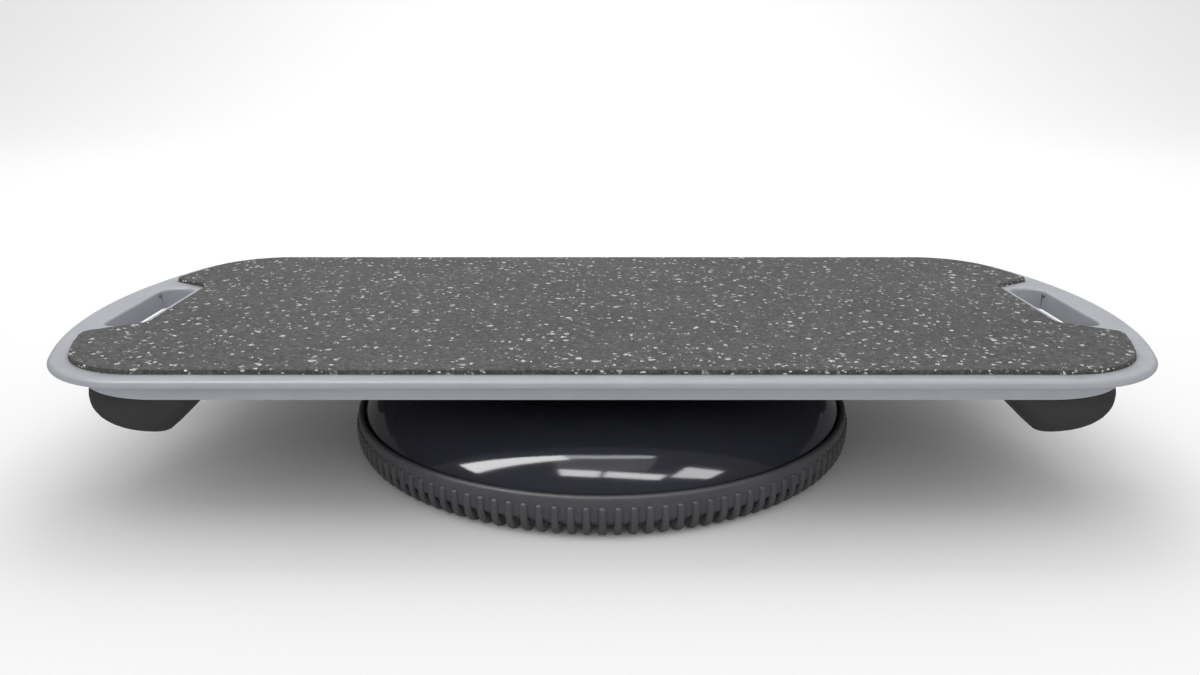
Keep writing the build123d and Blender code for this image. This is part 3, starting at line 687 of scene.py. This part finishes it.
class BuildFeet(bpy.types.Operator):
    """Model one corner foot and copy it, mirrored, to the other three corners"""
    bl_idname = "board.feet"
    bl_label = "Corner feet"

    skirt_corner = 0.0585
    inner_corner = 0.014
    sole_round = 0.0022
    collar_inset = 0.0022
    side_steps, sole_steps = 14, 3

    def outline(self, z, inset=0.0):
        """The foot's plan at one height."""
        size = sizes()
        fall = (size.foot_top - z) / (size.foot_top - FOOT_LOW.z)
        straight = size.foot_top - size.foot_side_drop
        share = 0 if z >= straight else (straight - z) / (straight - FOOT_LOW.z)
        bulge = sqrt(max(0.0, 1 - share ** 2))
        x0 = FOOT_LOW.x + (size.foot_toe_inner_x - FOOT_LOW.x) * fall + inset
        y0 = FOOT_LOW.y + (size.foot_toe_inner_y - FOOT_LOW.y) * fall + inset
        x1 = size.foot_toe_outer_x + (FOOT_HIGH.x - size.foot_toe_outer_x) * bulge - inset
        y1 = size.foot_toe_outer_y + (FOOT_HIGH.y - size.foot_toe_outer_y) * bulge - inset
        room = 0.47 * min(x1 - x0, y1 - y0)
        outer = min(self.skirt_corner - 0.6 * (FOOT_HIGH.x - x1), room * 1.7)
        inner = min(self.inner_corner, room)
        side = min(inner, x1 - x0 - outer - 0.0005, y1 - y0 - outer - 0.0005)
        corners = [(x0, y0, inner), (x1, y0, side), (x1, y1, outer), (x0, y1, side)]
        return [Vector((point.x, point.y, z)) for point in rounded_outline(corners, 10, 5)]

    def execute(self, context):
        size = sizes()
        collar = [Vector((p.x, p.y, FOOT_HIGH.z))
                  for p in self.outline(size.foot_top, self.collar_inset)]
        loops = [collar, self.outline(size.foot_top, self.collar_inset)]
        loops += [self.outline(size.foot_top, 0.0004), self.outline(size.foot_top - 0.0004)]
        height = size.foot_top - FOOT_LOW.z
        for i in range(1, self.side_steps):
            share = sin(pi / 2 * i / self.side_steps)
            loops.append(self.outline(size.foot_top - share * (height - self.sole_round)))
        for i in range(self.sole_steps + 1):
            angle = pi / 2 * i / self.sole_steps
            z = FOOT_LOW.z + self.sole_round * (1 - sin(angle))
            inset = self.sole_round * 0.45 * (1 - cos(angle))
            loops.append([Vector((p.x, p.y, z)) for p in self.outline(z, inset)])
        foot = loft("foot_pad_rear_right", loops, "caps")
        dress(foot, "deck", "foot", "foot_rubber", "foot_rear_right")
        for name, node, scale in (("foot_pad_rear_left", "foot_rear_left", (-1, 1, 1)),
                                  ("foot_pad_front_right", "foot_front_right", (1, -1, 1)),
                                  ("foot_pad_front_left", "foot_front_left", (-1, -1, 1))):
            copy = bpy.data.objects.new(name, foot.data.copy())
            context.collection.objects.link(copy)
            copy.data.name = name
            copy.data.transform(Matrix.Diagonal((*scale, 1)))
            finish_skin(copy)
            dress(copy, "deck", "foot", "foot_rubber", node)
        return {"FINISHED"}


class BuildDome(bpy.types.Operator):
    """Model the gloss dome as one smooth turned shell"""
    bl_idname = "board.dome"
    bl_label = "Dome"

    segments = 256

    def curve(self, radius, rise, count=26):
        """(radius, height) points from the dome's opening to its edge."""
        size = sizes()
        start = size.dome_opening / radius
        shares = [start + (1 - start) * sin(pi / 2 * i / count) for i in range(count + 1)]
        return [(radius * share, size.dome_edge
                 + rise * max(0.0, 1 - share ** size.dome_flatness) ** size.dome_power)
                for share in shares]

    def execute(self, context):
        size = sizes()
        outer, inner = DOME_HIGH.x, DOME_HIGH.x - size.dome_wall
        profile = self.curve(outer, size.dome_rise)
        profile += [(outer, DOME_LOW.z), (inner, DOME_LOW.z)]
        profile += reversed(self.curve(inner, size.dome_rise - size.dome_wall))
        dome = turned("dome_cover", profile, self.segments)
        dress(dome, "base", "dome", "dome_gloss", "dome_shell")
        return {"FINISHED"}


class BuildRing(bpy.types.Operator):
    """Model the rubber ring, one rounded tooth, and its copies round the ring"""
    bl_idname = "board.ring"
    bl_label = "Toothed ring"

    segments = 240

    def execute(self, context):
        size = sizes()
        lip = (size.ring_outer - size.ring_inner) / 2
        middle = size.ring_outer - lip
        crest = [(x, z) for x, z in arc(middle, RING_HIGH.z - lip, lip, 0, pi, 10)]
        profile = [(size.flange_inner, size.flange_bottom),
                   (size.ring_outer - 0.005, size.flange_bottom),
                   (size.ring_outer - 0.0008, size.ring_shoulder - 0.0006),
                   (size.ring_outer, size.ring_shoulder + 0.0006)]
        profile += crest + [(size.ring_inner, size.flange_top),
                            (size.flange_inner, size.flange_top)]
        ring = turned("toothed_ring", profile, self.segments)
        tooth = self.tooth(size)
        only(ring)
        tooth.select_set(True)
        bpy.ops.object.join()
        dress(ring, "base", "ring", "tread_rubber", "tread_ring")
        return {"FINISHED"}

    def tooth(self, size):
        """One tooth that curves in to its sole, with rounded outer edges, copied round the ring."""
        back, low = size.ring_outer - size.tooth_root, size.flange_top - 0.001
        swing = RING_HIGH.x - size.tooth_sole_outer
        side = [(size.tooth_sole_outer + swing * cos(angle), size.tooth_curve * (1 + sin(angle)))
                for angle in (-pi / 2 * (1 - i / 4) for i in range(5))]
        crown = RING_HIGH.x - size.tooth_round, size.tooth_height - size.tooth_round
        side += arc(*crown, size.tooth_round, 0, pi / 2, 3)
        side += [(back, size.tooth_height), (back, low), (size.tooth_sole, low),
                 (size.tooth_sole, 0)]
        half = size.tooth_width / 2
        tooth = edge_loop("tooth", [Vector((x, -half, z)) for x, z in side])
        bpy.ops.object.mode_set(mode="EDIT")
        bpy.ops.mesh.select_all(action="SELECT")
        bpy.ops.mesh.edge_face_add()
        bpy.ops.mesh.extrude_region()
        bpy.ops.transform.translate(value=(0, size.tooth_width, 0))
        bpy.ops.mesh.select_all(action="SELECT")
        bpy.ops.mesh.normals_make_consistent(inside=False)
        bpy.ops.mesh.select_mode(type="EDGE")
        mesh = bmesh.from_edit_mesh(tooth.data)
        outer = size.tooth_sole_outer + 0.0005
        for edge in mesh.edges:
            edge.select = (abs(edge.verts[0].co.y - edge.verts[1].co.y) < 1e-6
                           and all(v.co.x > min(outer, back + 1e-5) for v in edge.verts))
        bmesh.update_edit_mesh(tooth.data)
        bpy.ops.mesh.bevel(offset=size.tooth_round * 0.85, offset_type="OFFSET", segments=2,
                           profile=0.5, affect="EDGES")
        bpy.ops.mesh.select_all(action="SELECT")
        bpy.ops.mesh.spin(steps=size.tooth_count - 1, dupli=True, center=(0, 0, 0),
                          axis=(0, 0, 1),
                          angle=2 * pi * (size.tooth_count - 1) / size.tooth_count)
        bpy.ops.object.mode_set(mode="OBJECT")
        bpy.ops.object.shade_smooth_by_angle(angle=radians(60))
        return tooth


class FinishFrame(bpy.types.Operator):
    """Give every CAD piece that stays in view its own finish"""
    bl_idname = "board.frame_finishes"
    bl_label = "Frame finishes"

    wearing = {
        "cover": ("underside_cover",),
        "plate": ("base_plate",),
        "casting": ("deck_yoke", "turntable_yoke", "cross_block"),
        "cage": ("ball_cage",),
        "bush": ("front_back_bushes", "side_to_side_bushes"),
        "steel": ("cover_screws", "foot_screws", "deck_yoke_screws", "turntable_screws",
                  "lower_race_screws", "dome_screws", "upper_race", "lower_race",
                  "bearing_balls", "swivel_bolt", "swivel_nut", "swivel_washer", "long_pin",
                  "stub_pins", "pin_clips"),
    }

    def execute(self, context):
        for name, nodes in self.wearing.items():
            for node in nodes:
                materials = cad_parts[node].data.materials
                materials.clear()
                materials.append(FINISHES[name]())
        return {"FINISHED"}


class BuildStage(bpy.types.Operator):
    """Set up the pale backdrop, the soft lights and the camera"""
    bl_idname = "board.stage"
    bl_label = "Stage"

    # name, (x, y, z), (width, depth), watts, aimed at. These light the room and show in no gloss.
    lamps = (
        ("overhead", (0.0, 0.1, 1.9), (2.6, 2.0), 9.5, (0.0, 0.0, 0.0)),
        ("floor wash", (0.0, 2.0, 2.2), (1.8, 2.4), 26.0, (0.0, 2.2, 0.0)),
        ("front fill", (0.0, -2.2, 1.2), (2.6, 1.2), 2.0, (0.0, 0.0, 0.05)),
    )
    # name, (x, y), (width, depth), turn in degrees, brightness. These are seen in gloss alone.
    windows = (
        ("window left", (-1.22, -0.56), (1.80, 0.50), 17.0, 15.0),
        ("window strip left", (-0.245, -1.03), (0.45, 0.24), -8.0, 13.0),
        ("window strip right", (0.40, -1.14), (0.76, 0.22), -12.0, 13.0),
        ("window right", (1.33, -1.08), (0.85, 0.40), -10.0, 10.5),
        ("lip line", (0.0, -0.46), (0.92, 0.10), 0.0, 7.0),
        ("dim panel", (0.02, -0.72), (0.96, 0.38), -3.0, 1.0),
        ("rear soft box", (0.0, 1.9), (3.4, 0.9), 0.0, 2.2),
        ("top soft box", (0.0, 0.5), (2.6, 1.2), 0.0, 1.3),
    )
    window_height = 1.5
    floor_width, floor_depth, floor_shift = 14.0, 7.0, -1.5
    bend_radius, bend_steps, wall_height = 2.6, 12, 3.0
    surround, surround_in_gloss = 0.78, 0.16    # the world's strength

    def execute(self, context):
        settings = context.scene.board_stage
        self.backdrop(settings)
        for name, place, size, power, target in self.lamps:
            lamp = self.soft_box(name, place, size, power)
            lamp.rotation_euler = (Vector(target) - Vector(place)).to_track_quat(
                "-Z", "Y").to_euler()
            lamp.visible_glossy = False
        for name, (x, y), size, turn, brightness in self.windows:
            window = self.soft_box(name, (x, y, self.window_height), size,
                                   brightness * pi * size[0] * size[1])
            window.rotation_euler.z = radians(turn)
            window.visible_diffuse = False
        self.surroundings(context)
        bpy.ops.object.camera_add(location=(settings.camera_side, -settings.camera_back,
                                            settings.camera_height),
                                  rotation=(settings.camera_pitch, 0, 0))
        camera = context.active_object
        camera.data.lens = settings.lens
        camera.data.sensor_width = 36.0
        camera.data.clip_start = 0.01
        context.scene.camera = camera
        context.scene.view_settings.view_transform = "Standard"
        return {"FINISHED"}

    def soft_box(self, name, place, size, power):
        """One level area light that faces down."""
        bpy.ops.object.select_all(action="DESELECT")
        bpy.ops.object.light_add(type="AREA", location=place)
        light = bpy.context.active_object
        light.name = name
        light.data.shape = "RECTANGLE"
        light.data.size, light.data.size_y = size
        light.data.energy = power
        return light

    def backdrop(self, settings):
        """A pale floor that curves up into a wall behind the object."""
        bpy.ops.object.select_all(action="DESELECT")
        bpy.ops.mesh.primitive_plane_add(size=1.0)
        floor = bpy.context.active_object
        floor.name = floor.data.name = "backdrop"
        bpy.ops.object.mode_set(mode="EDIT")
        bpy.ops.transform.resize(value=(self.floor_width, self.floor_depth, 1.0))
        bpy.ops.transform.translate(value=(0, self.floor_shift, 0))
        bpy.ops.mesh.select_mode(type="EDGE")
        mesh = bmesh.from_edit_mesh(floor.data)
        for edge in mesh.edges:
            edge.select = all(v.co.y > 0 for v in edge.verts)
        bmesh.update_edit_mesh(floor.data)
        turn = pi / 2 / self.bend_steps
        for i in range(1, self.bend_steps + 1):
            angle = turn * i
            step = self.bend_radius * Vector((0, sin(angle) - sin(angle - turn),
                                              cos(angle - turn) - cos(angle)))
            bpy.ops.mesh.extrude_edges_indiv()
            bpy.ops.transform.translate(value=step)
        bpy.ops.mesh.extrude_edges_indiv()
        bpy.ops.transform.translate(value=(0, 0, self.wall_height))
        bpy.ops.mesh.select_all(action="SELECT")
        bpy.ops.mesh.normals_make_consistent(inside=False)
        bpy.ops.object.mode_set(mode="OBJECT")
        if floor.data.polygons[0].normal.z < 0:
            floor.data.flip_normals()
        bpy.ops.object.shade_smooth()
        material = bpy.data.materials.new("Pale backdrop")
        material.use_nodes = True
        graph = Graph(material.node_tree)
        shader = material.node_tree.nodes["Principled BSDF"]
        shader.inputs["Base Color"].default_value = plain(settings.backdrop)
        shader.inputs["Roughness"].default_value = 0.9
        shader.inputs["Specular IOR Level"].default_value = 0.1
        clear = graph.add("BsdfTransparent")
        behind = graph.add("NewGeometry").outputs["Backfacing"]
        mixed = graph.add("MixShader", {0: behind, 1: shader.outputs[0], 2: clear.outputs[0]})
        output = material.node_tree.nodes["Material Output"]
        material.node_tree.links.new(mixed.outputs[0], output.inputs["Surface"])
        floor.data.materials.append(material)
        floor.visible_glossy = False

    def surroundings(self, context):
        """An even pale surrounding that gloss sees as a dim room."""
        world = bpy.data.worlds.new("Dim studio")
        context.scene.world = world
        world.use_nodes = True
        graph = Graph(world.node_tree)
        light = world.node_tree.nodes["Background"]
        light.inputs["Color"].default_value = (1, 1, 1, 1)
        gloss = graph.add("LightPath").outputs["Is Glossy Ray"]
        strength = graph.ramp(gloss, 0.0, 1.0, self.surround, self.surround_in_gloss)
        world.node_tree.links.new(strength, light.inputs["Strength"])


class BoardPanel(bpy.types.Panel):
    """The board's pieces, sizes and colours"""
    bl_idname = "VIEW3D_PT_board"
    bl_label = "Balance board"
    bl_space_type = "VIEW_3D"
    bl_region_type = "UI"
    bl_category = "Balance board"

    def draw(self, context):
        for piece in PIECES:
            self.layout.operator(piece.bl_idname)
        for settings in (context.scene.board_sizes, context.scene.board_colours,
                         context.scene.board_stage):
            box = self.layout.box()
            for name in settings.__annotations__:
                box.prop(settings, name)


PIECES = (BuildDeck, BuildMat, BuildFeet, BuildDome, BuildRing, FinishFrame, BuildStage)
CLASSES = (BoardSizes, BoardColours, StageSizes, *PIECES, BoardPanel)


def register():
    for kind in CLASSES:
        bpy.utils.register_class(kind)
    bpy.types.Scene.board_sizes = PointerProperty(type=BoardSizes)
    bpy.types.Scene.board_colours = PointerProperty(type=BoardColours)
    bpy.types.Scene.board_stage = PointerProperty(type=StageSizes)


def unregister():
    del bpy.types.Scene.board_stage
    del bpy.types.Scene.board_colours
    del bpy.types.Scene.board_sizes
    for kind in reversed(CLASSES):
        bpy.utils.unregister_class(kind)


def main():
    register()
    noise.seed_set(7)
    for piece in PIECES:
        group, name = piece.bl_idname.split(".")
        getattr(getattr(bpy.ops, group), name)()


if __name__ == "__main__":
    main()
